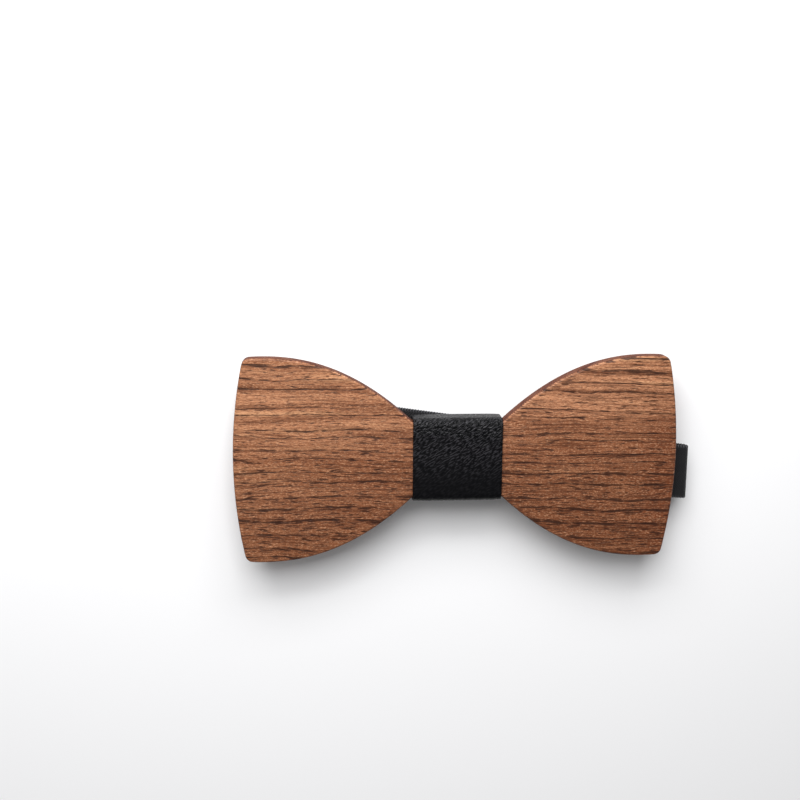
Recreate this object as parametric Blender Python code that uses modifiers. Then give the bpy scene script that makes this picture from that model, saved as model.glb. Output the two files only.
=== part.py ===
"""Wooden bow tie on an adjustable neck strap, lying face up on its folded strap.

Metres, +Z up. The origin is on the resting surface, below the middle of the bow. +X runs along the
bow, +Y towards its top edge, and the bow's face looks along +Z.

A flat walnut board is cut to the outline of a tied bow. A leather wrap closes round its waist, and one
woven ribbon runs through the tunnel between the board's back and the wrap. The ribbon's left end is
sewn round the bar of a hook. Its right end passes through a three-bar slider, goes round a ring and
returns to the slider's middle bar. For storage the ribbon is folded flat in layers under the bow.
"""

import math

import bmesh
import bpy
from mathutils import Vector

MM = 0.001

# Walnut board
BOW_HALF_LENGTH = 60.0 * MM
CREST_X = 52.0 * MM
CREST_Y = 28.0 * MM
NECK_HALF_LENGTH = 12.3 * MM
NECK_HALF_HEIGHT = 10.5 * MM
TOP_CURVE_POWER = 2.15
END_SAGITTA = 3.1 * MM
CORNER_RADIUS = 2.2 * MM
BOARD_THICKNESS = 4.5 * MM
BOARD_EDGE_RADIUS = 0.6 * MM

# Leather wrap
LEATHER_THICKNESS = 0.8 * MM
WRAP_HALF_WIDTH = 12.1 * MM
WRAP_CORNER_RADIUS = 1.2 * MM

# Ribbon
STRAP_WIDTH = 15.0 * MM
STRAP_THICKNESS = 0.7 * MM
FIT = 0.25 * MM
TOUCH = 0.3 * MM

# Hardware
PLATE = 1.0 * MM
BAR = 1.6 * MM
OUTER_BAR = 1.8 * MM
SLOT = 3.2 * MM
SLOT_HALF_LENGTH = 7.9 * MM
ARM = 1.8 * MM
RING_WIRE = 1.5 * MM
RING_REACH = 6.0 * MM
HOOK_BAR = 1.2 * MM
HOOK_SLOT = 2.6 * MM
TONGUE_WIDTH = 7.0 * MM
THREAD = 0.3 * MM

# Levels of the ribbon's layers, at the middle of its thickness, from the surface up
FLOOR_RUN = STRAP_THICKNESS / 2
UNDER_BAR = FLOOR_RUN + STRAP_THICKNESS + FIT
SLIDER_LEVEL = UNDER_BAR + STRAP_THICKNESS / 2 + FIT + PLATE / 2
OVER_BAR = SLIDER_LEVEL + PLATE / 2 + FIT + STRAP_THICKNESS / 2
TAIL_CREST = OVER_BAR + STRAP_THICKNESS + FIT
LOWER_RUN = TAIL_CREST + STRAP_THICKNESS + TOUCH
VISIBLE_RUN = LOWER_RUN + STRAP_THICKNESS + FIT
WRAP_BACK = VISIBLE_RUN + STRAP_THICKNESS / 2 + TOUCH + LEATHER_THICKNESS / 2
TUNNEL_RUN = WRAP_BACK + LEATHER_THICKNESS / 2 + TOUCH + STRAP_THICKNESS / 2
BOARD_BACK = TUNNEL_RUN + STRAP_THICKNESS / 2 + TOUCH
BOARD_FRONT = BOARD_BACK + BOARD_THICKNESS
WRAP_FRONT = BOARD_FRONT + FIT + LEATHER_THICKNESS / 2

# Where the folds and the hardware lie
RIGHT_FOLD_X = 64.85 * MM
LEFT_FOLD_X = -57.0 * MM
INNER_FOLD_X = -26.0 * MM
LOWER_FOLD_X = 57.0 * MM
SPLICE_X = 50.0 * MM
SPLICE_Y = -4.0 * MM
SLIDER_X = 28.0 * MM
RING_X = -18.0 * MM
ADJUSTER_Y = -5.0 * MM
HOOK_X = -42.0 * MM
HOOK_Y = 5.0 * MM
HOOK_LEVEL = FLOOR_RUN + STRAP_THICKNESS / 2 + FIT + PLATE / 2
RING_LEVEL = FLOOR_RUN + STRAP_THICKNESS / 2 + FIT + RING_WIRE / 2


def clear_scene():
    for old in list(bpy.data.objects):
        bpy.data.objects.remove(old, do_unlink=True)


def new_collection(name):
    collection = bpy.data.collections.new(name)
    bpy.context.scene.collection.children.link(collection)
    return collection


def new_material(name, color, roughness, metallic=0.0):
    material = bpy.data.materials.new(name)
    material.use_nodes = True
    shader = material.node_tree.nodes["Principled BSDF"]
    shader.inputs["Base Color"].default_value = (*color, 1.0)
    shader.inputs["Roughness"].default_value = roughness
    shader.inputs["Metallic"].default_value = metallic
    material.diffuse_color = (*color, 1.0)
    return material


def add_object(name, data, material, collection):
    data.materials.append(material)
    obj = bpy.data.objects.new(name, data)
    collection.objects.link(obj)
    return obj


def rounded(corners, steps=6, closed=False):
    """Points of a line through the corners (x, y, z, radius), each rounded in the XZ plane.

    Y only shifts from corner to corner, so a run may drift sideways while its width stays along Y.
    """
    if closed:
        corners = [corners[-1], *corners, corners[0]]
    points = [] if closed else [Vector(corners[0][:3])]
    for before, here, after in zip(corners, corners[1:], corners[2:]):
        first = Vector(here[:3]) - Vector(before[:3])
        second = Vector(after[:3]) - Vector(here[:3])
        a = Vector((first.x, first.z)).normalized()
        b = Vector((second.x, second.z)).normalized()
        turn = a.angle_signed(b)
        reach = here[3] * math.tan(abs(turn) / 2)
        start = Vector(here[:3]) - first * (reach / Vector((first.x, first.z)).length)
        end = Vector(here[:3]) + second * (reach / Vector((second.x, second.z)).length)
        side = Vector((a.y, -a.x)) * math.copysign(1.0, turn)
        count = max(1, math.ceil(steps * abs(turn) / math.radians(90)))
        for i in range(count + 1):
            angle = abs(turn) * i / count
            along = a * (here[3] * math.sin(angle)) + side * (here[3] * (1 - math.cos(angle)))
            y = start.y + (end.y - start.y) * i / count
            point = Vector((start.x + along.x, y, start.z + along.y))
            if not points or (point - points[-1]).length > 0.01 * MM:
                points.append(point)
    if closed:
        return points
    points.append(Vector(corners[-1][:3]))
    return points


def strip(name, points, width, thickness, material, collection):
    """A band of even thickness whose middle line is given and whose width lies along Y."""
    bm = bmesh.new()
    line = [bm.verts.new(point - Vector((0, width / 2, 0))) for point in points]
    edges = [bm.edges.new(pair) for pair in zip(line, line[1:])]
    grown = bmesh.ops.extrude_edge_only(bm, edges=edges)["geom"]
    moved = [item for item in grown if isinstance(item, bmesh.types.BMVert)]
    bmesh.ops.translate(bm, verts=moved, vec=(0, width, 0))
    bmesh.ops.recalc_face_normals(bm, faces=bm.faces)
    mesh = bpy.data.meshes.new(name)
    bm.to_mesh(mesh)
    bm.free()
    mesh.shade_smooth()
    mesh.set_sharp_from_angle(angle=math.radians(40))
    obj = add_object(name, mesh, material, collection)
    shell = obj.modifiers.new("thickness", "SOLIDIFY")
    shell.thickness = thickness
    shell.offset = 0.0
    shell.use_even_offset = True
    return obj


def plate(name, outlines, thickness, material, collection):
    """A flat curve object: the first outline is its edge and the others are holes."""
    curve = bpy.data.curves.new(name, "CURVE")
    curve.dimensions = "2D"
    curve.fill_mode = "BOTH"
    curve.extrude = thickness / 2
    for outline in outlines:
        spline = curve.splines.new("POLY")
        spline.points.add(len(outline) - 1)
        for point, (x, y) in zip(spline.points, outline):
            point.co = (x, y, 0, 1)
        spline.use_cyclic_u = True
    return add_object(name, curve, material, collection)


def round_edges(obj, radius, segments, limit_degrees):
    if obj.type == "CURVE":
        weld = obj.modifiers.new("weld", "WELD")
        weld.merge_threshold = 0.00001
    bevel = obj.modifiers.new("edges", "BEVEL")
    bevel.width = radius
    bevel.segments = segments
    bevel.use_clamp_overlap = False
    bevel.limit_method = "ANGLE"
    bevel.angle_limit = math.radians(limit_degrees)


def rectangle(low_x, high_x, half_y, radius, steps=4):
    """Outline of a rectangle with rounded corners, in X and Y."""
    corners = [
        (low_x, 0, -half_y, radius),
        (high_x, 0, -half_y, radius),
        (high_x, 0, half_y, radius),
        (low_x, 0, half_y, radius),
    ]
    return [(point.x, point.z) for point in rounded(corners, steps, closed=True)]


def as_mesh(obj):
    """The curve object remade as a mesh object with its caps welded and each made one face."""
    evaluated = obj.evaluated_get(bpy.context.evaluated_depsgraph_get())
    mesh = bpy.data.meshes.new_from_object(evaluated)
    mesh.name = obj.name
    bm = bmesh.new()
    bm.from_mesh(mesh)
    bmesh.ops.remove_doubles(bm, verts=bm.verts, dist=0.000005)
    flat = [edge for edge in bm.edges if edge.calc_face_angle(1.0) < math.radians(0.1)]
    bmesh.ops.dissolve_edges(bm, edges=flat)
    bm.to_mesh(mesh)
    bm.free()
    made = bpy.data.objects.new(obj.name + "_solid", mesh)
    made.matrix_world = obj.matrix_world
    obj.users_collection[0].objects.link(made)
    name = obj.name
    bpy.data.objects.remove(obj)
    made.name = name
    return made


def wing_edge():
    """Upper right quarter of the bow: the arched top edge, a round corner and the bowed end."""
    drop = CREST_Y - NECK_HALF_HEIGHT
    run = CREST_X - NECK_HALF_LENGTH
    bow = END_SAGITTA / CREST_Y**2

    def top(x):
        return CREST_Y - drop * (abs(CREST_X - x) / run) ** TOP_CURVE_POWER

    def end(y):
        return BOW_HALF_LENGTH - bow * y**2

    corner_x = end(CREST_Y)
    last_x = corner_x - 1.1 * CORNER_RADIUS
    first_y = CREST_Y - 1.2 * CORNER_RADIUS
    top_steps = 18
    end_steps = 6
    points = []
    for i in range(top_steps + 1):
        x = NECK_HALF_LENGTH + (last_x - NECK_HALF_LENGTH) * i / top_steps
        points.append((x, 0, top(x), 0.0))
    points.append((corner_x, 0, top(corner_x), CORNER_RADIUS))
    for i in range(end_steps):
        y = first_y * (1 - i / end_steps)
        points.append((end(y), 0, y, 0.0))
    points.append((BOW_HALF_LENGTH, 0, 0, 0.0))
    return [(point.x, point.z) for point in rounded(points)]


def make_board(material, collection):
    quarter = wing_edge()
    lower_right = [(x, -y) for x, y in reversed(quarter[:-1])]
    right = quarter + lower_right
    left = [(-x, -y) for x, y in right]
    sheet = plate("bow_board", [right + left], BOARD_THICKNESS, material, collection)
    board = as_mesh(sheet)
    board.location.z = BOARD_BACK + BOARD_THICKNESS / 2
    round_edges(board, BOARD_EDGE_RADIUS, 3, 60)


def make_wrap(material, collection):
    """The band is drawn in its own XY plane and turned, so that it closes round the X axis."""
    half_y = NECK_HALF_HEIGHT + FIT + LEATHER_THICKNESS / 2
    half_leather = LEATHER_THICKNESS / 2
    outer = rectangle(
        WRAP_BACK - half_leather,
        WRAP_FRONT + half_leather,
        half_y + half_leather,
        WRAP_CORNER_RADIUS + half_leather,
    )
    inner = rectangle(
        WRAP_BACK + half_leather,
        WRAP_FRONT - half_leather,
        half_y - half_leather,
        WRAP_CORNER_RADIUS - half_leather,
    )
    wrap = plate("leather_wrap", [outer, inner], 2 * WRAP_HALF_WIDTH, material, collection)
    wrap.rotation_euler = (0, math.radians(-90), 0)


def make_neck_strap(material, collection, parent):
    """From the end sewn at the hook, through the tunnel behind the board, to the lower layer."""
    hook_radius = HOOK_LEVEL - FLOOR_RUN
    hook_turn = HOOK_LEVEL + hook_radius
    hook_end = HOOK_X + HOOK_BAR / 2 + TOUCH + STRAP_THICKNESS / 2
    sewn_level = FLOOR_RUN + STRAP_THICKNESS + 0.2 * MM
    left_radius = (TUNNEL_RUN - FLOOR_RUN) / 2
    right_radius = (TUNNEL_RUN - VISIBLE_RUN) / 2
    inner_radius = (VISIBLE_RUN - LOWER_RUN) / 2
    right_y = -5.7 * MM
    inner_y = 7.0 * MM
    corners = [
        (HOOK_X - 10.0 * MM, HOOK_Y, sewn_level, 0),
        (HOOK_X - 4.6 * MM, HOOK_Y, sewn_level, 2.0 * MM),
        (HOOK_X - 2.0 * MM, HOOK_Y, hook_turn, 1.2 * MM),
        (hook_end, HOOK_Y, hook_turn, hook_radius),
        (hook_end, HOOK_Y, FLOOR_RUN, hook_radius),
        (LEFT_FOLD_X, HOOK_Y, FLOOR_RUN, left_radius),
        (LEFT_FOLD_X, HOOK_Y, TUNNEL_RUN, left_radius),
        (RIGHT_FOLD_X, right_y, TUNNEL_RUN, right_radius),
        (RIGHT_FOLD_X, right_y, VISIBLE_RUN, right_radius),
        (INNER_FOLD_X, inner_y, VISIBLE_RUN, inner_radius),
        (INNER_FOLD_X, inner_y, LOWER_RUN, inner_radius),
        (SPLICE_X - TOUCH, SPLICE_Y, LOWER_RUN, 0),
    ]
    strap = strip(
        "neck_strap", rounded(corners), STRAP_WIDTH, STRAP_THICKNESS, material, collection
    )
    strap.parent = parent


def make_adjuster_strap(material, collection, parent):
    """The ribbon's other end: under the fold, through the slider, round the ring and back."""
    fold_radius = (LOWER_RUN - FLOOR_RUN) / 2
    ring_radius = RING_LEVEL - FLOOR_RUN
    ring_end = RING_X - ring_radius
    ring_turn = RING_LEVEL + ring_radius
    tail_level = FLOOR_RUN + STRAP_THICKNESS + TOUCH
    bar_radius = SLIDER_LEVEL - UNDER_BAR
    bar_right = SLIDER_X + BAR / 2 + FIT + STRAP_THICKNESS / 2
    bar_left = SLIDER_X - BAR / 2 - FIT - STRAP_THICKNESS / 2
    bend = 0.6 * MM
    ease = 1.5 * MM
    y = ADJUSTER_Y

    def at(offset, level, radius):
        return (SLIDER_X + offset * MM, y, level, radius)

    corners = [
        (SPLICE_X, SPLICE_Y, LOWER_RUN, 0),
        (LOWER_FOLD_X, y, LOWER_RUN, fold_radius),
        (LOWER_FOLD_X, y, FLOOR_RUN, fold_radius),
        at(11.0, FLOOR_RUN, ease),
        at(7.0, OVER_BAR, ease),
        at(3.35, OVER_BAR, bend),
        at(2.55, FLOOR_RUN, bend),
        at(-2.55, FLOOR_RUN, bend),
        at(-3.35, OVER_BAR, bend),
        at(-7.0, OVER_BAR, ease),
        at(-11.0, FLOOR_RUN, ease),
        (ring_end, y, FLOOR_RUN, ring_radius),
        (ring_end, y, ring_turn, ring_radius),
        (RING_X + 2.0 * MM, y, ring_turn, ease),
        (RING_X + 5.5 * MM, y, tail_level, ease),
        at(-11.7, tail_level, ease),
        at(-7.3, TAIL_CREST, ease),
        at(-3.5, TAIL_CREST, bend),
        at(-1.8, OVER_BAR, bend),
        (bar_right, y, OVER_BAR, bar_radius),
        (bar_right, y, UNDER_BAR, bar_radius),
        (bar_left, y, UNDER_BAR, bend),
        (bar_left, y, SLIDER_LEVEL + 0.3 * MM, 0),
    ]
    strap = strip(
        "adjuster_strap", rounded(corners), STRAP_WIDTH, STRAP_THICKNESS, material, collection
    )
    strap.parent = parent


def make_slider(material, collection):
    """Three bars joined by two arms. The ribbon weaves through its two slots."""
    half_length = BAR / 2 + SLOT + OUTER_BAR
    outline = rectangle(-half_length, half_length, SLOT_HALF_LENGTH + ARM, 1.6 * MM)
    right_slot = rectangle(BAR / 2, BAR / 2 + SLOT, SLOT_HALF_LENGTH, 0.5 * MM)
    left_slot = rectangle(-BAR / 2 - SLOT, -BAR / 2, SLOT_HALF_LENGTH, 0.5 * MM)
    slider = plate("slider", [outline, right_slot, left_slot], PLATE, material, collection)
    slider.location = (SLIDER_X, ADJUSTER_Y, SLIDER_LEVEL)
    round_edges(slider, 0.25 * MM, 2, 60)


def make_ring(material, collection):
    """A rectangular wire ring. Its near bar lies in the ribbon's loop, on the swing axis."""
    half_y = SLOT_HALF_LENGTH + RING_WIRE / 2
    curve = bpy.data.curves.new("ring", "CURVE")
    curve.dimensions = "3D"
    curve.bevel_depth = RING_WIRE / 2
    curve.bevel_resolution = 3
    line = rectangle(-RING_REACH, 0, half_y, 1.7 * MM)
    spline = curve.splines.new("POLY")
    spline.points.add(len(line) - 1)
    for point, (x, y) in zip(spline.points, line):
        point.co = (x, y, 0, 1)
    spline.use_cyclic_u = True
    ring = add_object("ring", curve, material, collection)
    ring.location = (RING_X, ADJUSTER_Y, RING_LEVEL)


def make_hook(material, collection, cutters):
    """A slotted frame with a tongue bent back on itself. Its bar lies in the ribbon's sewn loop."""
    frame_end = HOOK_BAR / 2 + HOOK_SLOT + 1.8 * MM
    outline = rectangle(-HOOK_BAR / 2, frame_end, SLOT_HALF_LENGTH + 1.4 * MM, 0.55 * MM)
    slot = rectangle(HOOK_BAR / 2, HOOK_BAR / 2 + HOOK_SLOT, SLOT_HALF_LENGTH, 0.5 * MM)
    frame = plate("hook", [outline, slot], PLATE, material, collection)
    hook = as_mesh(frame)
    round_edges(hook, 0.3 * MM, 2, 60)
    bend = 1.3 * MM
    tongue_line = [
        (3.6 * MM, 0, 0, 0),
        (5.4 * MM, 0, 0, bend),
        (7.4 * MM, 0, 2.75 * MM, bend),
        (13.2 * MM, 0, 2.75 * MM, bend),
        (13.2 * MM, 0, 0, bend),
        (10.2 * MM, 0, 0, 2.0 * MM),
        (8.6 * MM, 0, -0.3 * MM, 0),
    ]
    tongue = strip("hook_tongue", rounded(tongue_line), TONGUE_WIDTH, 0.9 * MM, material, cutters)
    tongue.hide_render = True
    tongue.display_type = "WIRE"
    join = hook.modifiers.new("tongue", "BOOLEAN")
    join.operation = "UNION"
    join.solver = "EXACT"
    join.object = tongue
    tongue.parent = hook
    hook.location = (HOOK_X, HOOK_Y, HOOK_LEVEL)


def make_stitch(name, x, y, level, material, collection):
    """A bar tack: one thread laid in a zigzag across the ribbon."""
    half_length = 6.0 * MM
    half_width = 0.7 * MM
    turns = 18
    curve = bpy.data.curves.new(name, "CURVE")
    curve.dimensions = "3D"
    curve.bevel_depth = THREAD / 2
    curve.bevel_resolution = 1
    curve.use_fill_caps = True
    spline = curve.splines.new("POLY")
    spline.points.add(turns)
    for i, point in enumerate(spline.points):
        side = half_width if i % 2 else -half_width
        point.co = (side, half_length * (2 * i / turns - 1), 0, 1)
    stitch = add_object(name, curve, material, collection)
    stitch.location = (x, y, level + THREAD / 2 + 0.1 * MM)


def main():
    clear_scene()
    bow_tie = new_collection("bow_tie")
    cutters = new_collection("bow_tie_cutters")
    walnut = new_material("walnut", (0.27, 0.12, 0.06), 0.5)
    leather = new_material("black_leather", (0.012, 0.012, 0.014), 0.45)
    webbing = new_material("black_webbing", (0.015, 0.015, 0.018), 0.85)
    lower_webbing = new_material("black_webbing_adjuster", (0.015, 0.015, 0.018), 0.85)
    nickel = new_material("nickel", (0.62, 0.6, 0.57), 0.25, 1.0)
    thread = new_material("black_thread", (0.02, 0.02, 0.022), 0.6)

    strap_origin = bpy.data.objects.new("strap_origin", None)
    bow_tie.objects.link(strap_origin)

    make_board(walnut, bow_tie)
    make_wrap(leather, bow_tie)
    make_neck_strap(webbing, bow_tie, strap_origin)
    make_adjuster_strap(lower_webbing, bow_tie, strap_origin)
    make_slider(nickel, bow_tie)
    make_ring(nickel.copy(), bow_tie)
    make_hook(nickel.copy(), bow_tie, cutters)
    sewn_top = FLOOR_RUN + 1.5 * STRAP_THICKNESS + 0.2 * MM
    make_stitch("hook_stitch", HOOK_X - 7.5 * MM, HOOK_Y, sewn_top, thread, bow_tie)
    tail_top = OVER_BAR + STRAP_THICKNESS / 2
    make_stitch(
        "slider_stitch", SLIDER_X - 0.6 * MM, ADJUSTER_Y, tail_top, thread.copy(), bow_tie
    )


main()
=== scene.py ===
"""Looks of the wooden bow tie: walnut board, leather wrap, woven ribbon and nickel hardware.

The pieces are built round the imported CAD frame, in metres, +X along the bow, +Y towards its top edge
and +Z out of its face.
"""

import math

import bmesh
import bpy
from mathutils import Matrix, Vector


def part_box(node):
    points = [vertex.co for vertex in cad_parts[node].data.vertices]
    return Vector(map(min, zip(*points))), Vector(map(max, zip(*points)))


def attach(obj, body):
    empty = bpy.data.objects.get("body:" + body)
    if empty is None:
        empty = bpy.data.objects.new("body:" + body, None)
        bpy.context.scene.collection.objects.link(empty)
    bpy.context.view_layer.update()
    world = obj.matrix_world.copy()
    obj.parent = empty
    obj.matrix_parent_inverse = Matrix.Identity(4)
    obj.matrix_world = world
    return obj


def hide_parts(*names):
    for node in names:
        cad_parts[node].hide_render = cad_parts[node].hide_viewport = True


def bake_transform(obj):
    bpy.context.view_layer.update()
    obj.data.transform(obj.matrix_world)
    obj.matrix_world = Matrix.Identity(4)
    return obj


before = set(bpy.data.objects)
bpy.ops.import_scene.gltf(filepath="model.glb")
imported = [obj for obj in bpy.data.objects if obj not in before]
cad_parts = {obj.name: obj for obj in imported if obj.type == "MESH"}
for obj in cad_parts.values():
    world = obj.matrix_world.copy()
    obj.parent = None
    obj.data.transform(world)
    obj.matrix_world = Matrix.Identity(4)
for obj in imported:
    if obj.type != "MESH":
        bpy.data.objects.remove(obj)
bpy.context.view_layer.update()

MM = 0.001

# Sizes of the pieces, as the CAD has them
BOW_HALF_LENGTH = 60.0 * MM
CREST_X = 52.0 * MM
CREST_Y = 28.0 * MM
NECK_HALF_LENGTH = 12.3 * MM
NECK_HALF_HEIGHT = 10.5 * MM
TOP_CURVE_POWER = 2.15
END_SAGITTA = 3.1 * MM
CORNER_RADIUS = 2.2 * MM
EDGE_RADIUS = 0.6 * MM
LEATHER = 0.8 * MM
STRAP_WIDTH = 15.0 * MM
STRAP_THICKNESS = 0.7 * MM
FIT = 0.25 * MM
TOUCH = 0.3 * MM
BAR = 1.6 * MM
SLOT = 3.2 * MM
OUTER_BAR = 1.8 * MM
SLOT_HALF_LENGTH = 7.9 * MM
ARM = 1.8 * MM
HOOK_BAR = 1.2 * MM
HOOK_SLOT = 2.6 * MM
HOOK_OUTER_BAR = 1.8 * MM
HOOK_ARM = 1.4 * MM
TONGUE_WIDTH = 7.0 * MM
TONGUE_THICKNESS = 0.9 * MM
PLATE = 1.0 * MM
PLATE_EDGE = 0.3 * MM
RING_WIRE = 1.5 * MM
RING_REACH = 6.0 * MM
THREAD = 0.3 * MM
SELVEDGE_PITCH = 0.75 * MM

# Places read from the frame, and the levels and folds of the ribbon's layers between them
board_low, board_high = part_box("bow_board")
wrap_low, wrap_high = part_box("leather_wrap")
slider_low, slider_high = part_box("slider")
ring_low, ring_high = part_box("ring")
hook_low, hook_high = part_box("hook")
BOARD_BACK = board_low.z
BOARD_FRONT = board_high.z
SLIDER_X = (slider_low.x + slider_high.x) / 2
SLIDER_LEVEL = (slider_low.z + slider_high.z) / 2
ADJUSTER_Y = (slider_low.y + slider_high.y) / 2
RING_X = ring_high.x - RING_WIRE / 2
RING_LEVEL = (ring_low.z + ring_high.z) / 2
HOOK_X = hook_low.x + HOOK_BAR / 2
HOOK_Y = (hook_low.y + hook_high.y) / 2
WRAP_HALF_WIDTH = (wrap_high.x - wrap_low.x) / 2
WRAP_HALF_Y = wrap_high.y - LEATHER / 2
WRAP_LOW = wrap_low.z + LEATHER / 2
WRAP_HIGH = wrap_high.z - LEATHER / 2
FLOOR_RUN = STRAP_THICKNESS / 2
HOOK_LEVEL = FLOOR_RUN + STRAP_THICKNESS / 2 + FIT + PLATE / 2
UNDER_BAR = FLOOR_RUN + STRAP_THICKNESS + FIT
OVER_BAR = SLIDER_LEVEL + PLATE / 2 + FIT + STRAP_THICKNESS / 2
TAIL_CREST = OVER_BAR + STRAP_THICKNESS + FIT
LOWER_RUN = TAIL_CREST + STRAP_THICKNESS + TOUCH
VISIBLE_RUN = LOWER_RUN + STRAP_THICKNESS + FIT
TUNNEL_RUN = BOARD_BACK - TOUCH - STRAP_THICKNESS / 2
RIGHT_FOLD_X = 64.85 * MM
LEFT_FOLD_X = -57.0 * MM
INNER_FOLD_X = -26.0 * MM
LOWER_FOLD_X = 57.0 * MM
SPLICE_X = 50.0 * MM
SPLICE_Y = -4.0 * MM


# ---------------------------------------------------------------- camera, light and floor


def make_camera():
    """The camera stands past the bow's top edge, on the side of its left half, and looks down at it."""
    data = bpy.data.cameras.new("camera")
    data.sensor_width = 36.0
    data.lens = 51.08
    camera = bpy.data.objects.new("camera", data)
    bpy.context.scene.collection.objects.link(camera)
    place = Vector((-0.037, 0.077, BOARD_FRONT + 0.294))
    looks_at = Vector((-0.0156, 0.01665, BOARD_FRONT))
    back = (place - looks_at).normalized()
    right = Vector((0.9975, 0.005, 0.071)).normalized()
    up = back.cross(right).normalized()
    right = up.cross(back)
    turn = Matrix((right, up, back)).transposed().to_4x4()
    camera.matrix_world = Matrix.Translation(place) @ turn
    bpy.context.scene.camera = camera


def area_light(name, place, width, height, power):
    """A rectangular light, in metres and watts, aimed at the middle of the bow."""
    data = bpy.data.lights.new(name, "AREA")
    data.shape = "RECTANGLE"
    data.size = width
    data.size_y = height
    data.energy = power
    light = bpy.data.objects.new(name, data)
    light.location = place
    back = Vector(place) - Vector((0, 0, BOARD_FRONT))
    light.rotation_euler = back.to_track_quat("Z", "Y").to_euler()
    light.visible_camera = False
    bpy.context.scene.collection.objects.link(light)


def make_studio():
    """A white floor, a soft box high behind the bow and a low strip light that grazes it from there."""
    floor_size = 3.0
    floor_drop = 0.05 * MM
    bpy.ops.mesh.primitive_plane_add(size=floor_size, location=(0, 0, -floor_drop))
    floor = bpy.context.active_object
    floor.name = "floor"
    paper = bpy.data.materials.new("floor_paper")
    paper.use_nodes = True
    shader = paper.node_tree.nodes["Principled BSDF"]
    shader.inputs["Base Color"].default_value = (0.92, 0.92, 0.93, 1)
    shader.inputs["Roughness"].default_value = 0.7
    floor.data.materials.append(paper)
    area_light("soft_box", (-0.15, 0.55, 0.75), 0.7, 0.5, 7.6)
    area_light("strip_light", (-0.03, 0.20, 0.16), 0.28, 0.10, 0.5)
    world = bpy.data.worlds.new("studio")
    world.use_nodes = True
    background = world.node_tree.nodes["Background"]
    background.inputs["Color"].default_value = (1.0, 1.0, 1.0, 1)
    background.inputs["Strength"].default_value = 0.24
    bpy.context.scene.world = world
    bpy.context.scene.view_settings.view_transform = "Standard"


# ---------------------------------------------------------------- node helpers


class Material:
    """A material whose nodes are added by short calls, each of which returns the node's result."""

    def __init__(self, name):
        self.material = bpy.data.materials.new(name)
        self.material.use_nodes = True
        self.tree = self.material.node_tree
        self.shader = self.tree.nodes["Principled BSDF"]

    def node(self, kind, *inputs, **settings):
        made = self.tree.nodes.new(kind)
        for key, value in settings.items():
            setattr(made, key, value)
        for socket, value in zip(made.inputs, inputs):
            self.feed(socket, value)
        return made.outputs[0]

    def feed(self, socket, value):
        """Links the socket to another node's output, or sets it to a plain value."""
        if isinstance(value, bpy.types.NodeSocket):
            self.tree.links.new(value, socket)
        else:
            socket.default_value = value

    def math(self, operation, *inputs):
        return self.node("ShaderNodeMath", *inputs, operation=operation)

    def times(self, first, second):
        return self.math("MULTIPLY", first, second)

    def times_plus(self, first, second, added):
        """first times second, plus what is added."""
        return self.math("MULTIPLY_ADD", first, second, added)

    def scaled(self, vector, scale):
        return self.node("ShaderNodeVectorMath", vector, scale, operation="MULTIPLY")

    def noise(self, vector, scale=1.0, detail=2.0, roughness=0.5):
        made = self.tree.nodes.new("ShaderNodeTexNoise")
        self.feed(made.inputs["Vector"], vector)
        made.inputs["Scale"].default_value = scale
        made.inputs["Detail"].default_value = detail
        made.inputs["Roughness"].default_value = roughness
        return made.outputs["Fac"]

    def ramp(self, value, low, high, start=0.0, end=1.0):
        """value mapped smoothly from low..high to start..end."""
        made = self.tree.nodes.new("ShaderNodeMapRange")
        made.interpolation_type = "SMOOTHSTEP"
        self.feed(made.inputs["Value"], value)
        made.inputs["From Min"].default_value = low
        made.inputs["From Max"].default_value = high
        made.inputs["To Min"].default_value = start
        made.inputs["To Max"].default_value = end
        return made.outputs["Result"]

    def mix(self, factor, first, second):
        """The first colour, covered by the second by this factor."""
        made = self.tree.nodes.new("ShaderNodeMix")
        made.data_type = "RGBA"
        factor_socket, first_socket, second_socket, mixed_socket = 0, 6, 7, 2
        self.feed(made.inputs[factor_socket], factor)
        self.feed(made.inputs[first_socket], first)
        self.feed(made.inputs[second_socket], second)
        return made.outputs[mixed_socket]

    def combine(self, x, y, z):
        return self.node("ShaderNodeCombineXYZ", x, y, z)

    def split(self, vector):
        """The vector's three numbers."""
        made = self.tree.nodes.new("ShaderNodeSeparateXYZ")
        self.feed(made.inputs[0], vector)
        return tuple(made.outputs)

    def place_mm(self):
        """The point's place in the row frame, in millimetres."""
        made = self.tree.nodes.new("ShaderNodeTexCoord")
        return self.scaled(made.outputs["Object"], (1000.0, 1000.0, 1000.0))

    def cloth_mm(self):
        """The point's place on the flat, uncut cloth, in millimetres: along it, then across it."""
        made = self.tree.nodes.new("ShaderNodeUVMap")
        made.uv_map = "UVMap"
        return self.scaled(made.outputs["UV"], (1000.0, 1000.0, 1000.0))

    def bump(self, height_mm, strength=1.0):
        """Relief from a height in millimetres."""
        made = self.tree.nodes.new("ShaderNodeBump")
        made.inputs["Strength"].default_value = strength
        made.inputs["Distance"].default_value = MM
        self.feed(made.inputs["Height"], height_mm)
        self.tree.links.new(made.outputs["Normal"], self.shader.inputs["Normal"])

    def set(self, **values):
        """Sets or links the shader's own sockets, and returns the finished material."""
        for name, value in values.items():
            self.feed(self.shader.inputs[name.replace("_", " ")], value)
        return self.material


def color(red, green, blue):
    """A linear colour from the red, green and blue of a screen colour, each 0 to 255."""

    def linear(value):
        value /= 255
        return value / 12.92 if value <= 0.04045 else ((value + 0.055) / 1.055) ** 2.4

    return (linear(red), linear(green), linear(blue), 1.0)


# ---------------------------------------------------------------- materials


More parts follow.
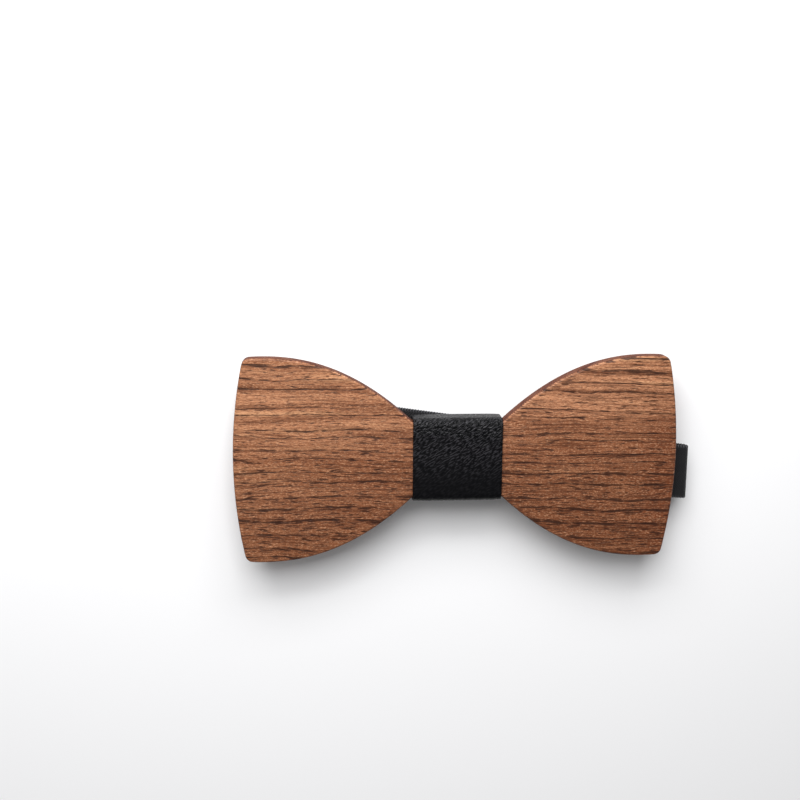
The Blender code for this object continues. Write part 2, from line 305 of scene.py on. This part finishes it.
def across_grain(m, x, y, z):
    """Millimetres across the grain, which runs along X, falls a little to the right, drifts and waves."""
    drift = m.noise(m.combine(m.times(x, 0.012), m.times(y, 0.04), 3.1))
    wave = m.noise(m.combine(m.times(x, 0.06), m.times(y, 0.16), 7.7))
    across = m.times_plus(x, 0.022, y)
    across = m.times_plus(z, 0.5, across)
    across = m.times_plus(drift, 5.0, across)
    return m.times_plus(wave, 1.8, across)


def growth_rings(m, across, breaks):
    """One dark line every few millimetres, which swells and breaks, and a soft shade on its lower side."""
    spacing = 3.3
    uneven = m.noise(m.combine(0.0, m.times(across, 0.13), 1.7), detail=1.0)
    rings = m.math("ADD", m.math("DIVIDE", across, spacing), m.times(uneven, 2.4))
    to_line = m.math("PINGPONG", rings, 0.5)
    swell = m.times(m.math("SUBTRACT", 0.5, m.math("MINIMUM", breaks, 0.6)), 0.5)
    line = m.ramp(m.math("ADD", to_line, swell), 0.0, 0.09, 1.0, 0.0)
    return line, m.ramp(m.math("FRACT", rings), 0.5, 1.0)


def cut_edge(m, z):
    """1 on the board's cut edge and 0 on its sanded faces."""
    below_face = m.ramp(z, (BOARD_FRONT - EDGE_RADIUS) / MM, BOARD_FRONT / MM - 0.15, 1.0, 0.0)
    above_back = m.ramp(z, BOARD_BACK / MM + 0.15, (BOARD_BACK + EDGE_RADIUS) / MM)
    return m.times(below_face, above_back)


def walnut():
    """Oiled walnut: rings, streaks, pores and fibres along X, over soft bands of light and dark wood."""
    m = Material("oiled_walnut")
    x, y, z = m.split(m.place_mm())
    across = across_grain(m, x, y, z)

    def grain(along, over, detail=2.0, roughness=0.5, seed=0.0):
        """Noise drawn out along the grain, with so many waves per millimetre along and over it."""
        stretched = m.combine(m.times_plus(x, along, seed), m.times(across, over), m.times(z, 0.3))
        return m.noise(stretched, detail=detail, roughness=roughness)

    line, shade = growth_rings(m, across, grain(0.2, 1.3, 2.0, 0.6, 11.0))
    edge = cut_edge(m, z)

    # Soft bands and layers run for many centimetres, and dark streaks and thin threads for two or
    # three. The threads grow bolder to the right.
    band = m.ramp(grain(0.008, 0.11, 2.0, 0.5, 57.0), 0.3, 0.7)
    layers = grain(0.013, 0.32, 4.0, 0.75, 91.0)
    streaks = m.ramp(grain(0.05, 1.5, 3.0, 0.65, 71.0), 0.48, 0.66)
    bolder = m.ramp(x, -45.0, 20.0, 0.3, 1.0)
    threads = m.ramp(grain(0.035, 2.1, 2.0, 0.6, 103.0), 0.54, 0.62)

    # Pores: short dark dashes, more of them towards the lower edge and in the rings' shade.
    lower = m.ramp(y, 16.0, -18.0)
    coarse = m.times_plus(lower, 0.045, grain(0.26, 2.3, 2.0, 0.6, 23.0))
    coarse = m.times_plus(shade, 0.03, coarse)
    coarse_pores = m.ramp(coarse, 0.58, 0.67)
    fine_pores = m.ramp(grain(0.5, 5.0, 2.0, 0.6, 31.0), 0.54, 0.68)
    fibres = grain(0.7, 4.2, 5.0, 0.8, 41.0)
    glint_flecks = grain(1.3, 3.2, 4.0, 0.85, 83.0)

    # The wood grows redder and darker from the left end to the waist and from the top down, partly as
    # redder wood and partly as painted shade. There is some dark heartwood at the right end.
    redder_and_shaded = m.times(m.ramp(x, -62.0, -8.0), m.ramp(y, 22.0, 2.0))
    heartwood = m.times(m.ramp(x, 46.0, 60.0), m.ramp(y, 22.0, 8.0))

    # Each tint covers the ones before it, by its share. The cut edge shows denser, redder wood.
    tone = m.mix(band, color(162, 106, 73), color(200, 141, 104))
    for share, tint in (
        (m.ramp(layers, 0.5, 0.3, 0.0, 0.6), color(230, 173, 128)),
        (m.ramp(layers, 0.5, 0.68, 0.0, 0.7), color(98, 55, 31)),
        # Darker towards the bottom edge: partly darker wood low down, partly painted shade where the light
        # falls off.
        (m.times(lower, 0.85), color(128, 76, 47)),
        (m.times(redder_and_shaded, 0.5), color(116, 63, 36)),
        (m.times(heartwood, 0.6), color(104, 46, 20)),
        # Pale flecks: painted glints among the fibres.
        (m.ramp(glint_flecks, 0.49, 0.65, 0.0, 0.7), color(228, 174, 135)),
        (m.ramp(fibres, 0.48, 0.62, 0.0, 0.8), color(92, 49, 27)),
        (m.times(streaks, 0.6), color(88, 46, 25)),
        (m.times(shade, 0.3), color(104, 57, 32)),
        (m.times(m.times(threads, bolder), 0.62), color(66, 32, 16)),
        (m.times(fine_pores, 0.65), color(72, 37, 20)),
        (m.times(coarse_pores, 0.85), color(50, 24, 13)),
        (m.times(line, 0.85), color(44, 21, 12)),
        (m.times(edge, 0.8), color(76, 27, 11)),
    ):
        tone = m.mix(share, tone, tint)

    relief = m.times(coarse_pores, -0.04)
    relief = m.times_plus(fine_pores, -0.02, relief)
    relief = m.times_plus(fibres, 0.02, relief)
    relief = m.times_plus(line, -0.03, relief)
    m.bump(relief, 0.8)
    return m.set(
        Base_Color=tone,
        Roughness=m.times_plus(edge, 0.3, m.ramp(fibres, 0.3, 0.8, 0.4, 0.54)),
        Specular_IOR_Level=0.22,
    )


def leather():
    """Fine creases run slantwise over the face, and pebbles stand up where it bends over the edges."""
    m = Material("black_leather")
    cloth = m.cloth_mm()
    _, y, _ = m.split(m.place_mm())
    slant = math.radians(32)
    turned = m.node("ShaderNodeVectorRotate", cloth, (0, 0, 0), (0, 0, 1), slant)
    creases = m.noise(m.scaled(turned, (0.85, 3.3, 1.0)), detail=0.5, roughness=0.5)
    grain = m.noise(m.scaled(turned, (1.6, 3.6, 1.0)), detail=2.0, roughness=0.6)
    cells = m.tree.nodes.new("ShaderNodeTexVoronoi")
    cells.feature = "DISTANCE_TO_EDGE"
    m.feed(cells.inputs["Vector"], m.scaled(turned, (0.8, 1.25, 1.0)))
    cells.inputs["Scale"].default_value = 1.0
    pebbles = m.ramp(cells.outputs["Distance"], 0.0, 0.3)

    # The bends are at the board's top and bottom edges. The relief is stretched flat towards the bottom.
    bend = m.ramp(m.math("ABSOLUTE", y), 5.0, 8.5)
    relief = m.ramp(y, -9.0, 4.0, 0.15, 1.0)
    height = m.times(m.times(creases, relief), 0.15)
    height = m.times_plus(grain, 0.05, height)
    height = m.times_plus(m.times(m.times(pebbles, bend), relief), 0.16, height)
    m.bump(height)
    # Pale crease ridges: painted highlights, fading towards the bottom with the relief.
    crest_highlight = m.times(m.ramp(creases, 0.5, 0.62), relief)
    return m.set(
        Base_Color=m.mix(crest_highlight, color(3, 3, 5), color(46, 45, 48)),
        Roughness=m.ramp(grain, 0.35, 0.7, 0.46, 0.28),
        Specular_IOR_Level=0.15,
    )


def webbing():
    """Black herringbone tape: columns of slanted rows, and a selvedge of small loops."""
    m = Material("black_herringbone_tape")
    cloth = m.cloth_mm()
    along, across, _ = m.split(cloth)
    column_width = 2.5
    row_pitch = 0.75
    pick_pitch = 0.42
    half_width = STRAP_WIDTH / MM / 2

    def waves(distance, pitch):
        return m.math("SINE", m.times(distance, 2 * math.pi / pitch))

    slanted = m.math("ADD", along, m.math("PINGPONG", across, column_width))
    rows = waves(slanted, row_pitch)
    picks = waves(along, pick_pitch)
    loops = waves(along, SELVEDGE_PITCH / MM)
    fuzz = m.noise(cloth, scale=4.0, detail=4.0, roughness=0.7)
    selvedge = m.ramp(m.math("ABSOLUTE", across), half_width - 0.75, half_width - 0.45)
    height = m.times(m.ramp(rows, -0.8, 0.8), 0.09)
    height = m.times_plus(picks, 0.02, height)
    height = m.times_plus(fuzz, 0.05, height)
    height = m.times_plus(m.times(loops, selvedge), 0.06, height)
    m.bump(height)
    # The rows are lighter on their raised ridges and darker in the grooves: painted sheen and shade of the
    # weave.
    tone = m.mix(m.ramp(rows, -0.6, 1.0), color(8, 8, 10), color(30, 30, 33))
    # The selvedge loops are paler where they stand up: painted highlight.
    loop_highlight = m.times(selvedge, m.ramp(loops, 0.2, 0.9))
    return m.set(
        Base_Color=m.mix(loop_highlight, tone, color(74, 74, 78)),
        Roughness=m.ramp(fuzz, 0.3, 0.7, 0.75, 0.92),
        Specular_IOR_Level=0.3,
        Sheen_Weight=0.08,
        Sheen_Roughness=0.5,
    )


def nickel():
    """Bright plate, clouded a little by handling, with fine scratches."""
    m = Material("nickel_plate")
    place = m.place_mm()
    polish = m.noise(place, scale=0.6, detail=4.0, roughness=0.6)
    scratches = m.noise(m.scaled(place, (9.0, 0.5, 4.0)), detail=2.0)
    m.bump(m.times(scratches, 0.01), 0.35)
    return m.set(
        Base_Color=m.mix(m.ramp(polish, 0.35, 0.7), color(196, 192, 186), color(216, 213, 208)),
        Roughness=m.ramp(scratches, 0.3, 0.7, 0.16, 0.3),
        Metallic=1.0,
    )


def thread():
    """Black sewing thread with a fine fuzz."""
    m = Material("black_thread")
    fuzz = m.noise(m.place_mm(), scale=9.0, detail=3.0, roughness=0.7)
    m.bump(m.times(fuzz, 0.04), 0.7)
    return m.set(
        Base_Color=m.mix(m.ramp(fuzz, 0.35, 0.7), color(16, 16, 18), color(48, 48, 52)),
        Roughness=m.ramp(fuzz, 0.3, 0.7, 0.5, 0.72),
    )


# ---------------------------------------------------------------- shapes


def rounded(corners, steps=14, closed=False):
    """Points of a line through the corners (x, y, z, radius), each rounded in the XZ plane."""
    if closed:
        corners = [corners[-1], *corners, corners[0]]
    points = [] if closed else [Vector(corners[0][:3])]
    for before, here, after in zip(corners, corners[1:], corners[2:]):
        first = Vector(here[:3]) - Vector(before[:3])
        second = Vector(after[:3]) - Vector(here[:3])
        a = Vector((first.x, first.z)).normalized()
        b = Vector((second.x, second.z)).normalized()
        turn = a.angle_signed(b)
        reach = here[3] * math.tan(abs(turn) / 2)
        start = Vector(here[:3]) - first * (reach / Vector((first.x, first.z)).length)
        end = Vector(here[:3]) + second * (reach / Vector((second.x, second.z)).length)
        side = Vector((a.y, -a.x)) * math.copysign(1.0, turn)
        count = max(1, math.ceil(steps * abs(turn) / math.radians(90)))
        for i in range(count + 1):
            angle = abs(turn) * i / count
            moved = a * (here[3] * math.sin(angle)) + side * (here[3] * (1 - math.cos(angle)))
            y = start.y + (end.y - start.y) * i / count
            point = Vector((start.x + moved.x, y, start.z + moved.y))
            if not points or (point - points[-1]).length > 0.002 * MM:
                points.append(point)
    if not closed:
        points.append(Vector(corners[-1][:3]))
    return points


def resampled(points, spacing):
    """The same line with its long stretches divided, so that no step is over the spacing."""
    dense = [points[0]]
    for start, end in zip(points, points[1:]):
        count = max(1, math.ceil((end - start).length / spacing))
        dense += [start.lerp(end, i / count) for i in range(1, count + 1)]
    return dense


def shade_smooth(mesh, sharp_degrees=50):
    """Smooth shading, with sharp edges where the faces turn by more than this."""
    mesh.shade_smooth()
    mesh.set_sharp_from_angle(angle=math.radians(sharp_degrees))


def add_piece(name, bm, material, sharp_degrees=50):
    """A new object from the bmesh, with its faces pointing outwards."""
    mesh = bpy.data.meshes.new(name)
    bmesh.ops.recalc_face_normals(bm, faces=bm.faces)
    bm.to_mesh(mesh)
    bm.free()
    shade_smooth(mesh, sharp_degrees)
    mesh.materials.append(material)
    piece = bpy.data.objects.new(name, mesh)
    bpy.context.scene.collection.objects.link(piece)
    return piece


def skin(bm, rings):
    """Quads between rings of vertices that follow each other, and a face over each end."""
    for first, second in zip(rings, rings[1:]):
        for i in range(len(first)):
            j = (i + 1) % len(first)
            bm.faces.new((first[i], first[j], second[j], second[i]))
    bm.faces.new(list(reversed(rings[0])))
    bm.faces.new(rings[-1])


def normal_at(line, index):
    """The line's normal in the XZ plane at one of its points: up, where the line runs to +X."""
    step = line[min(index + 1, len(line) - 1)] - line[max(index - 1, 0)]
    tangent = Vector((step.x, 0, step.z)).normalized()
    return Vector((-tangent.z, 0, tangent.x))


def curve_surface(name, curve):
    """The curve's surface as a bmesh, with the points that coincide merged."""
    holder = bpy.data.objects.new(name + "_line", curve)
    bpy.context.scene.collection.objects.link(holder)
    graph = bpy.context.evaluated_depsgraph_get()
    mesh = bpy.data.meshes.new_from_object(holder.evaluated_get(graph))
    bpy.data.objects.remove(holder)
    bm = bmesh.new()
    bm.from_mesh(mesh)
    bpy.data.meshes.remove(mesh)
    bmesh.ops.remove_doubles(bm, verts=bm.verts, dist=0.002 * MM)
    return bm


def ribbon_section(edge):
    """The ribbon's section as (across, off) pairs: rounded selvedges, joined by flat faces."""
    half = STRAP_THICKNESS / 2
    section = []
    for side, start in ((1, 90), (-1, -90)):
        for k in range(7):
            angle = math.radians(start - 30 * k)
            section.append((side * edge + half * math.cos(angle), half * math.sin(angle)))
        for share in (0.92, 0.6, 0.2, -0.2, -0.6, -0.92):
            section.append((side * edge * share, -side * half))
    return section


def ribbon(name, line, material):
    """Woven tape along a line: flat in section, with a rounded, lightly scalloped selvedge."""
    scallop = 0.09 * MM
    bm = bmesh.new()
    uv_layer = bm.loops.layers.uv.new("UVMap")
    place = {}
    rings = []
    travelled = 0.0
    for index, point in enumerate(line):
        if index:
            travelled += (point - line[index - 1]).length
        normal = normal_at(line, index)
        wave = scallop * math.sin(2 * math.pi * travelled / SELVEDGE_PITCH)
        ring = []
        for across, off in ribbon_section(STRAP_WIDTH / 2 - STRAP_THICKNESS / 2 + wave):
            vert = bm.verts.new(point + Vector((0, across, 0)) + normal * off)
            place[vert] = (travelled, across)
            ring.append(vert)
        rings.append(ring)
    skin(bm, rings)
    for face in bm.faces:
        for loop in face.loops:
            loop[uv_layer].uv = place[loop.vert]
    return add_piece(name, bm, material, 60)


def tube(name, points, radius, sides, material, closed=False):
    """A round wire through the points."""
    curve = bpy.data.curves.new(name, "CURVE")
    curve.dimensions = "3D"
    curve.bevel_depth = radius
    curve.bevel_resolution = max(0, sides // 2 - 2)
    curve.use_fill_caps = not closed
    spline = curve.splines.new("POLY")
    spline.points.add(len(points) - 1)
    for target, point in zip(spline.points, points):
        target.co = (*point, 1)
    spline.use_cyclic_u = closed
    return add_piece(name, curve_surface(name, curve), material, 60)


def plate(name, outlines, thickness, edge, segments, material):
    """A flat solid with rounded rims: the first outline is its edge and the others are holes."""
    curve = bpy.data.curves.new(name, "CURVE")
    curve.dimensions = "2D"
    curve.fill_mode = "BOTH"
    curve.extrude = thickness / 2
    for outline in outlines:
        spline = curve.splines.new("POLY")
        spline.points.add(len(outline) - 1)
        for point, (x, y) in zip(spline.points, outline):
            point.co = (x, y, 0, 1)
        spline.use_cyclic_u = True
    bm = curve_surface(name, curve)
    flat = [e for e in bm.edges if e.calc_face_angle(1.0) < math.radians(0.05)]
    bmesh.ops.dissolve_edges(bm, edges=flat)
    level = 0.0001 * MM
    rims = [e for e in bm.edges if abs(e.verts[0].co.z - e.verts[1].co.z) < level]
    bmesh.ops.bevel(
        bm, geom=rims, offset=edge, segments=segments, profile=0.5, affect="EDGES", clamp_overlap=False
    )
    return add_piece(name, bm, material)


def apply_place(piece):
    """Moves the piece's place into its mesh, so that its own axes are the row frame's."""
    bpy.context.view_layer.update()
    piece.data.transform(piece.matrix_world)
    piece.matrix_world.identity()


def rectangle(low_x, high_x, half_y, radius, steps=8):
    """A rectangle's outline with round corners, as (x, y) pairs."""
    corners = [
        (low_x, 0, -half_y, radius),
        (high_x, 0, -half_y, radius),
        (high_x, 0, half_y, radius),
        (low_x, 0, half_y, radius),
    ]
    return [(point.x, point.z) for point in rounded(corners, steps, closed=True)]


# ---------------------------------------------------------------- the bow


def wing_edge():
    """Upper right quarter of the bow: the arched top edge, a round corner and the bowed end."""
    drop = CREST_Y - NECK_HALF_HEIGHT
    run = CREST_X - NECK_HALF_LENGTH
    bow = END_SAGITTA / CREST_Y**2

    def top(x):
        return CREST_Y - drop * (abs(CREST_X - x) / run) ** TOP_CURVE_POWER

    def end(y):
        return BOW_HALF_LENGTH - bow * y**2

    corner_x = end(CREST_Y)
    last_x = corner_x - 1.1 * CORNER_RADIUS
    first_y = CREST_Y - 1.2 * CORNER_RADIUS
    top_steps = 60
    end_steps = 30
    points = []
    for i in range(top_steps + 1):
        x = NECK_HALF_LENGTH + (last_x - NECK_HALF_LENGTH) * i / top_steps
        points.append((x, 0, top(x), 0.0))
    points.append((corner_x, 0, top(corner_x), CORNER_RADIUS))
    for i in range(end_steps):
        y = first_y * (1 - i / end_steps)
        points.append((end(y), 0, y, 0.0))
    points.append((BOW_HALF_LENGTH, 0, 0, 0.0))
    return [(point.x, point.z) for point in rounded(points)]


def make_board(material):
    """One walnut plate: the four quarters of the outline in one, with rounded rims."""
    quarter = wing_edge()
    lower_right = [(x, -y) for x, y in reversed(quarter[:-1])]
    right = quarter + lower_right
    left = [(-x, -y) for x, y in right]
    thickness = BOARD_FRONT - BOARD_BACK
    board = plate("walnut_board", [right + left], thickness, EDGE_RADIUS, 7, material)
    board.location.z = (BOARD_FRONT + BOARD_BACK) / 2
    apply_place(board)
    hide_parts("bow_board")
    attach(board, "bow")


def wrap_loop():
    """The middle of the leather round the waist. It is a loop in YZ, drawn with its x for the bow's y."""
    front_radius = 1.9 * MM
    back_radius = 0.9 * MM
    corners = [
        (-WRAP_HALF_Y, 0, WRAP_LOW, back_radius),
        (WRAP_HALF_Y, 0, WRAP_LOW, back_radius),
        (WRAP_HALF_Y, 0, WRAP_HIGH, front_radius),
        (-WRAP_HALF_Y, 0, WRAP_HIGH, front_radius),
    ]
    loop = rounded(corners, closed=True)
    return resampled([*loop, loop[0]], 0.25 * MM)[:-1]


def crown(x):
    """The edges lie a little lower than the middle, where the leather is stretched."""
    return -0.16 * MM * abs(x / WRAP_HALF_WIDTH) ** 7


def pucker(x, point):
    """Small creases where the leather bends over the board's front edges."""
    from_bend = Vector((abs(point.x) - WRAP_HALF_Y + 0.6 * MM, point.z - WRAP_HIGH + 0.3 * MM))
    nearness = max(0.0, 1 - from_bend.length / (2.6 * MM)) ** 2
    side = math.copysign(1.7, point.x)
    ripple = math.sin(x / MM * 2.9 + side) * math.sin(x / MM * 1.13 + 2 * side)
    ripple += 0.5 * math.sin(x / MM * 6.1 + 3 * side)
    return 0.07 * MM * nearness * ripple


def lap(point):
    """The strip's outer end shows as a small step across the back."""
    start = -2.0 * MM
    run = 7.0 * MM
    along = (point.x - start) / run
    on_back = point.z < WRAP_LOW + 0.1 * MM
    return 0.16 * MM * (1 - along) if on_back and 0 <= along <= 1 else 0.0


def wrap_section(point):
    """The leather's section at a point of the loop, as pairs: along X, and out of the loop."""
    half = LEATHER / 2
    rim_radius = 0.35 * MM
    flat_half = WRAP_HALF_WIDTH - rim_radius
    columns = 96
    flat = [flat_half * (2 * i / columns - 1) for i in range(columns + 1)]
    lift = lap(point)
    rim = []
    for k in range(1, 8):
        angle = math.radians(90 - 22.5 * k)
        edge_lift = crown(WRAP_HALF_WIDTH) * (0.5 + 0.5 * math.sin(angle))
        off = half * math.sin(angle) + edge_lift + lift
        rim.append((flat_half + rim_radius * math.cos(angle), off))
    outside = [(x, half + crown(x) + pucker(x, point) + lift) for x in flat]
    inside = [(x, -half + lift) for x in reversed(flat)]
    return outside + rim + inside + [(-x, off) for x, off in reversed(rim)]


def make_wrap(material):
    """A leather strip closed round the waist, glued to itself behind the bow with a thinned lap."""
    loop = wrap_loop()
    bm = bmesh.new()
    uv_layer = bm.loops.layers.uv.new("UVMap")
    rings = []
    travels = [0.0]
    for index, point in enumerate(loop):
        after = loop[(index + 1) % len(loop)]
        tangent = (after - loop[index - 1]).normalized()
        out = Vector((0, tangent.z, -tangent.x))
        ring = []
        for x, off in wrap_section(point):
            place = Vector((x, point.x, point.z)) + out * off
            ring.append((bm.verts.new(place), x))
        rings.append(ring)
        travels.append(travels[-1] + (after - point).length)
    for index, first in enumerate(rings):
        second = rings[(index + 1) % len(rings)]
        start, end = travels[index : index + 2]
        for i in range(len(first)):
            j = (i + 1) % len(first)
            face = bm.faces.new((first[i][0], first[j][0], second[j][0], second[i][0]))
            places = ((first[i], start), (first[j], start), (second[j], end), (second[i], end))
            for corner, ((_, x), travel) in zip(face.loops, places):
                corner[uv_layer].uv = (x, travel)
    wrap = add_piece("leather_wrap_band", bm, material)
    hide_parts("leather_wrap")
    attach(wrap, "bow")


# ---------------------------------------------------------------- the neck strap


def make_neck_strap(material):
    """From the end sewn at the hook, through the tunnel behind the board, to the lower layer."""
    hook_radius = HOOK_LEVEL - FLOOR_RUN
    hook_turn = HOOK_LEVEL + hook_radius
    hook_end = HOOK_X + HOOK_BAR / 2 + TOUCH + STRAP_THICKNESS / 2
    sewn_level = FLOOR_RUN + STRAP_THICKNESS + 0.2 * MM
    left_radius = (TUNNEL_RUN - FLOOR_RUN) / 2
    right_radius = (TUNNEL_RUN - VISIBLE_RUN) / 2
    inner_radius = (VISIBLE_RUN - LOWER_RUN) / 2
    sewn_end = HOOK_X - 10.0 * MM
    sewn_rise = HOOK_X - 4.6 * MM
    loop_start = HOOK_X - 2.0 * MM
    right_y = -5.7 * MM
    inner_y = 7.0 * MM
    corners = [
        (sewn_end, HOOK_Y, sewn_level, 0),
        (sewn_rise, HOOK_Y, sewn_level, 2.0 * MM),
        (loop_start, HOOK_Y, hook_turn, 1.2 * MM),
        (hook_end, HOOK_Y, hook_turn, hook_radius),
        (hook_end, HOOK_Y, FLOOR_RUN, hook_radius),
        (LEFT_FOLD_X, HOOK_Y, FLOOR_RUN, left_radius),
        (LEFT_FOLD_X, HOOK_Y, TUNNEL_RUN, left_radius),
        (RIGHT_FOLD_X, right_y, TUNNEL_RUN, right_radius),
        (RIGHT_FOLD_X, right_y, VISIBLE_RUN, right_radius),
        (INNER_FOLD_X, inner_y, VISIBLE_RUN, inner_radius),
        (INNER_FOLD_X, inner_y, LOWER_RUN, inner_radius),
        (SPLICE_X, SPLICE_Y, LOWER_RUN, 0),
    ]
    line = resampled(rounded(corners), SELVEDGE_PITCH / 6)
    strap = ribbon("neck_ribbon", line, material)
    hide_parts("neck_strap")
    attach(strap, "strap")


def make_adjuster_strap(material):
    """Under the fold, through the slider, round the ring and back to the slider's middle bar."""
    fold_radius = (LOWER_RUN - FLOOR_RUN) / 2
    ring_radius = RING_LEVEL - FLOOR_RUN
    ring_end = RING_X - ring_radius
    ring_turn = RING_LEVEL + ring_radius
    tail_level = FLOOR_RUN + STRAP_THICKNESS + TOUCH
    bar_radius = SLIDER_LEVEL - UNDER_BAR
    bar_right = SLIDER_X + BAR / 2 + FIT + STRAP_THICKNESS / 2
    bar_left = SLIDER_X - BAR / 2 - FIT - STRAP_THICKNESS / 2
    bend = 0.6 * MM
    ease = 1.5 * MM
    ring_out = RING_X + 5.5 * MM
    fold_reach = 11.0
    loop_reach = -11.7
    y = ADJUSTER_Y

    def at(offset, level, radius):
        """A corner so many millimetres to the right of the slider's middle bar."""
        return (SLIDER_X + offset * MM, y, level, radius)

    fold = [
        (SPLICE_X, SPLICE_Y, LOWER_RUN, 0),
        (LOWER_FOLD_X, y, LOWER_RUN, fold_radius),
        (LOWER_FOLD_X, y, FLOOR_RUN, fold_radius),
        at(fold_reach, FLOOR_RUN, ease),
        at(7.0, OVER_BAR, ease),
        at(3.35, OVER_BAR, bend),
        at(2.55, FLOOR_RUN, bend),
        at(-2.55, FLOOR_RUN, bend),
        at(-3.35, OVER_BAR, bend),
        at(-4.9, OVER_BAR, 0),
    ]
    loop = [
        at(-4.9, OVER_BAR, 0),
        at(-7.0, OVER_BAR, ease),
        at(-11.0, FLOOR_RUN, ease),
        (ring_end, y, FLOOR_RUN, ring_radius),
        (ring_end, y, ring_turn, ring_radius),
        (RING_X + 2.0 * MM, y, ring_turn, ease),
        (ring_out, y, tail_level, ease),
        at(loop_reach, tail_level, ease),
        at(-7.3, TAIL_CREST, ease),
        at(-3.5, TAIL_CREST, bend),
        at(-1.8, OVER_BAR, bend),
        (bar_right, y, OVER_BAR, bar_radius),
        (bar_right, y, UNDER_BAR, bar_radius),
        (bar_left, y, UNDER_BAR, bend),
        (bar_left, y, SLIDER_LEVEL + 0.3 * MM, 0),
    ]
    fold_start = (SPLICE_X, y, FLOOR_RUN)
    fold_end = (SLIDER_X + fold_reach * MM, y, FLOOR_RUN)
    loop_start = (ring_out, y, FLOOR_RUN)
    loop_end = (SLIDER_X + loop_reach * MM, y, FLOOR_RUN)
    for name, corners, start, end in (
        ("adjuster_ribbon_fold", fold, fold_start, fold_end),
        ("adjuster_ribbon_loop", loop, loop_start, loop_end),
    ):
        line = resampled(rounded(corners), SELVEDGE_PITCH / 6)
        piece = ribbon(name, line, material)
        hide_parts("adjuster_strap")
        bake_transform(piece)


# ---------------------------------------------------------------- hardware


def make_slider(material):
    """A flat plate with two slots and a bar between them."""
    half_length = BAR / 2 + SLOT + OUTER_BAR
    outline = rectangle(-half_length, half_length, SLOT_HALF_LENGTH + ARM, 1.6 * MM, 12)
    right_slot = rectangle(BAR / 2, BAR / 2 + SLOT, SLOT_HALF_LENGTH, 0.5 * MM)
    left_slot = rectangle(-BAR / 2 - SLOT, -BAR / 2, SLOT_HALF_LENGTH, 0.5 * MM)
    outlines = [outline, right_slot, left_slot]
    slider = plate("nickel_slider", outlines, PLATE, PLATE_EDGE, 4, material)
    slider.location = (SLIDER_X, ADJUSTER_Y, SLIDER_LEVEL)
    apply_place(slider)
    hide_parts("slider")
    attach(slider, "slider")


def make_ring(material):
    """A rectangular wire eye with round corners."""
    half_y = SLOT_HALF_LENGTH + RING_WIRE / 2
    outline = rectangle(-RING_REACH, 0, half_y, 1.7 * MM, 12)
    points = [Vector((RING_X + x, ADJUSTER_Y + y, RING_LEVEL)) for x, y in outline]
    ring = tube("nickel_ring", points, RING_WIRE / 2, 20, material, closed=True)
    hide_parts("ring")
    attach(ring, "ring")


def strip(name, line, width, thickness, material):
    """A bent metal strip with rounded edges whose width lies along Y."""
    edge = 0.25 * MM
    half_across = width / 2 - edge
    half_off = thickness / 2 - edge
    section = []
    for side, face, start in ((1, 1, 90), (1, -1, 0), (-1, -1, -90), (-1, 1, -180)):
        for k in range(5):
            angle = math.radians(start - 22.5 * k)
            across = side * half_across + edge * math.cos(angle)
            section.append((across, face * half_off + edge * math.sin(angle)))
    bm = bmesh.new()
    rings = []
    for index, point in enumerate(line):
        normal = normal_at(line, index)
        ring = [bm.verts.new(point + Vector((0, across, 0)) + normal * off) for across, off in section]
        rings.append(ring)
    skin(bm, rings)
    bmesh.ops.remove_doubles(bm, verts=bm.verts, dist=0.001 * MM)
    return add_piece(name, bm, material)


def hook_tongue(material):
    """The tongue rises off the frame, runs out and turns back under itself."""
    bend = 1.3 * MM
    rise = 2.75 * MM
    reach = 13.2 * MM
    corners = [
        (3.6 * MM, 0, 0, 0),
        (5.4 * MM, 0, 0, bend),
        (7.4 * MM, 0, rise, bend),
        (reach, 0, rise, bend),
        (reach, 0, 0, bend),
        (10.2 * MM, 0, 0, 2.0 * MM),
        (8.6 * MM, 0, -0.3 * MM, 0),
    ]
    return strip("hook_tongue", rounded(corners, 10), TONGUE_WIDTH, TONGUE_THICKNESS, material)


def make_hook(material):
    """A slotted frame with the tongue joined to it."""
    frame_end = HOOK_BAR / 2 + HOOK_SLOT + HOOK_OUTER_BAR
    outline = rectangle(-HOOK_BAR / 2, frame_end, SLOT_HALF_LENGTH + HOOK_ARM, 0.55 * MM)
    slot = rectangle(HOOK_BAR / 2, HOOK_BAR / 2 + HOOK_SLOT, SLOT_HALF_LENGTH, 0.5 * MM)
    hook = plate("nickel_hook", [outline, slot], PLATE, PLATE_EDGE, 4, material)
    tongue = hook_tongue(material)
    join = hook.modifiers.new("tongue", "BOOLEAN")
    join.operation = "UNION"
    join.solver = "EXACT"
    join.object = tongue
    graph = bpy.context.evaluated_depsgraph_get()
    mesh = bpy.data.meshes.new_from_object(hook.evaluated_get(graph))
    hook.modifiers.clear()
    hook.data = mesh
    bpy.data.objects.remove(tongue)
    shade_smooth(mesh)
    hook.location = (HOOK_X, HOOK_Y, HOOK_LEVEL)
    apply_place(hook)
    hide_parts("hook")
    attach(hook, "hook")


def make_stitch(name, node, body, material):
    """A bar tack: a thread laid in a zigzag across the ribbon."""
    low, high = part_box(node)
    x = (low.x + high.x) / 2
    y = (low.y + high.y) / 2
    sunk = 0.1 * MM
    level = low.z + THREAD / 2 - sunk
    half_width = 0.7 * MM
    half_length = 6.0 * MM
    turns = 26
    corners = []
    for i in range(turns + 1):
        side = half_width if i % 2 else -half_width
        corners.append(Vector((x + side, y + half_length * (2 * i / turns - 1), level)))
    points = resampled(corners, 0.12 * MM)
    stitch = tube(name, points, THREAD / 2, 8, material)
    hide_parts(node)
    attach(stitch, body)


def main():
    """Every piece, in the order of the bow, its strap and the hardware."""
    make_camera()
    make_studio()
    tape = webbing()
    metal = nickel()
    yarn = thread()
    make_board(walnut())
    make_wrap(leather())
    make_neck_strap(tape)
    make_adjuster_strap(tape)
    make_slider(metal)
    make_ring(metal)
    make_hook(metal)
    make_stitch("hook_bar_tack", "hook_stitch", "strap", yarn)
    make_stitch("slider_bar_tack", "slider_stitch", "slider", yarn)


main()
